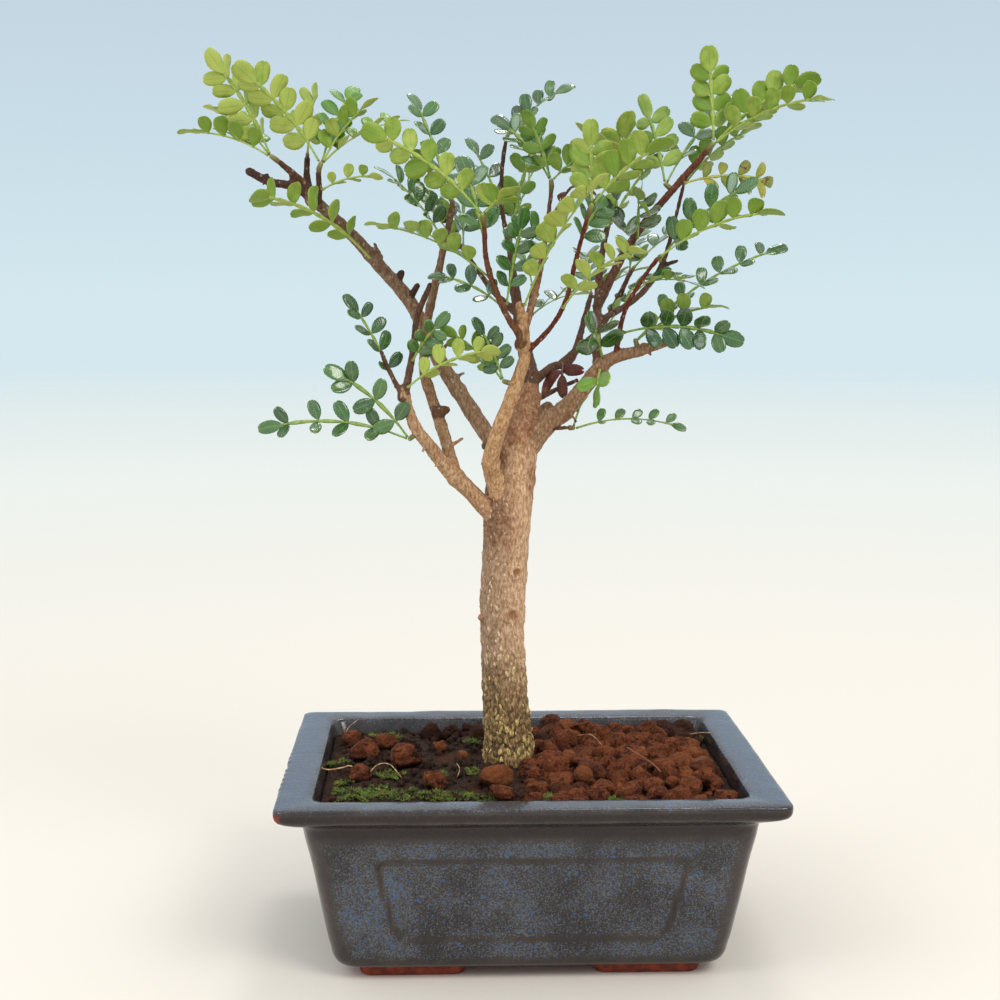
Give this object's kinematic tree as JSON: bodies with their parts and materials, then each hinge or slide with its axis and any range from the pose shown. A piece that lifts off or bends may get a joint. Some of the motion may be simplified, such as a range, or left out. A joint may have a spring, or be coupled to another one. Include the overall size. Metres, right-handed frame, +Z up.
{
  "type": "chinese pepper bonsai",
  "caption": "Small indoor bonsai tree with pinnate leaves, bare lower trunk and forked crown, growing in clod-covered soil in a low glazed rectangular footed pot.",
  "frame": {"origin": "middle of the bottom of the whole box, on the surface that the feet stand on; the pot's own middle lies a few millimetres to the side of it", "axes": "+Z up, +X along the pot's long side to the viewer's right, +Y to the back"},
  "size_m": [0.1942, 0.1196, 0.2788],
  "materials": {
    "glaze": "glossy speckled blue glaze breaking to brown at the edges, over red-brown clay",
    "soil": "rough porous red-brown clods on dark peat",
    "screen": "matt",
    "bark": "smooth grey-tan bark, corky at the foot, darker on twigs",
    "leaf_dark": "glossy mature leaf",
    "leaf_lime": "satin young leaf",
    "leaf_yellow": "curled yellowing leaf",
    "leaf_dry": "dried leaf"
  },
  "bodies": {
    "root": {"pot": "glaze", "soil": "soil", "drain_screen_left": "screen", "drain_screen_right": "screen", "trunk": "bark", "leaf_spray_01": "leaf_lime", "leaf_spray_02": "leaf_lime", "leaf_spray_03": "leaf_lime", "leaf_spray_04": "leaf_lime", "leaf_spray_05": "leaf_lime", "leaf_spray_06": "leaf_lime", "leaf_spray_07": "leaf_dark", "leaf_spray_08": "leaf_dark", "leaf_spray_09": "leaf_dark", "leaf_spray_10": "leaf_lime", "leaf_spray_11": "leaf_dark", "leaf_spray_12": "leaf_lime", "leaf_spray_13": "leaf_dark", "leaf_spray_14": "leaf_lime", "leaf_spray_15": "leaf_dark", "leaf_spray_16": "leaf_dark", "leaf_spray_17": "leaf_dark", "leaf_spray_18": "leaf_dark", "leaf_spray_19": "leaf_lime", "leaf_spray_20": "leaf_dark", "leaf_spray_21": "leaf_lime", "leaf_spray_22": "leaf_yellow", "leaf_spray_23": "leaf_dark", "leaf_spray_24": "leaf_lime", "leaf_spray_25": "leaf_dark", "leaf_spray_26": "leaf_lime", "leaf_spray_27": "leaf_dark", "leaf_spray_28": "leaf_dark", "leaf_spray_29": "leaf_dark", "leaf_spray_30": "leaf_lime", "leaf_spray_31": "leaf_dark", "leaf_spray_32": "leaf_dark", "leaf_spray_33": "leaf_dark", "leaf_spray_34": "leaf_dark", "leaf_spray_35": "leaf_dark", "leaf_spray_36": "leaf_dark", "leaf_spray_37": "leaf_dark", "leaf_spray_38": "leaf_dark", "leaf_spray_39": "leaf_dark", "leaf_spray_40": "leaf_dark", "leaf_spray_41": "leaf_dark", "leaf_spray_42": "leaf_dark", "leaf_spray_43": "leaf_dark", "leaf_spray_44": "leaf_dark", "leaf_spray_45": "leaf_dark", "leaf_spray_46": "leaf_dark", "leaf_spray_47": "leaf_dark", "leaf_spray_48": "leaf_dark", "leaf_spray_49": "leaf_dark", "leaf_spray_50": "leaf_dark", "leaf_spray_51": "leaf_dark", "dry_leaf_01": "leaf_dry", "dry_leaf_02": "leaf_dry"}
  },
  "joints": []
}
